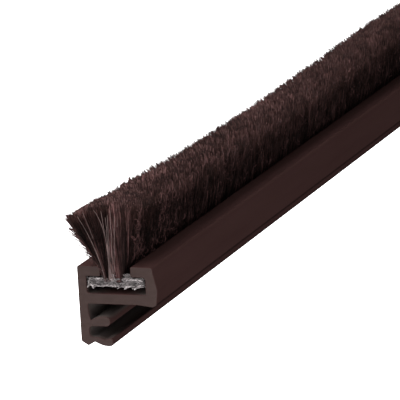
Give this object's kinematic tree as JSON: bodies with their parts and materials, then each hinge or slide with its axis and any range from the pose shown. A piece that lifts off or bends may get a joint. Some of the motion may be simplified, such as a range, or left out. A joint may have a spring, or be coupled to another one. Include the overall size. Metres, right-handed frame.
{
  "type": "brush seal strip",
  "caption": "Length of pile weatherstrip: a rigid extruded carrier with a lipped pocket, clip grooves and a hooked foot, holding a woven backing with a fan of brush pile.",
  "frame": {"origin": "middle of the web's flat back, which the strip lies on, halfway along its length", "axes": "+Y along the length, away from the cut end that the picture shows; +Z square to the web's back, towards the side wall; -X the way the pile points"},
  "size_m": [0.0158, 1.0051, 0.0093],
  "materials": {
    "carrier": "dark brown extruded rigid plastic, satin, with square cut ends",
    "backing": "pale woven polypropylene tape with frayed cut ends",
    "pile": "dense straight dark brown fibres"
  },
  "bodies": {
    "root": {"carrier_profile": "carrier", "woven_backing": "backing", "pile_row_web_side": "pile", "pile_row_wall_side": "pile"}
  },
  "joints": []
}
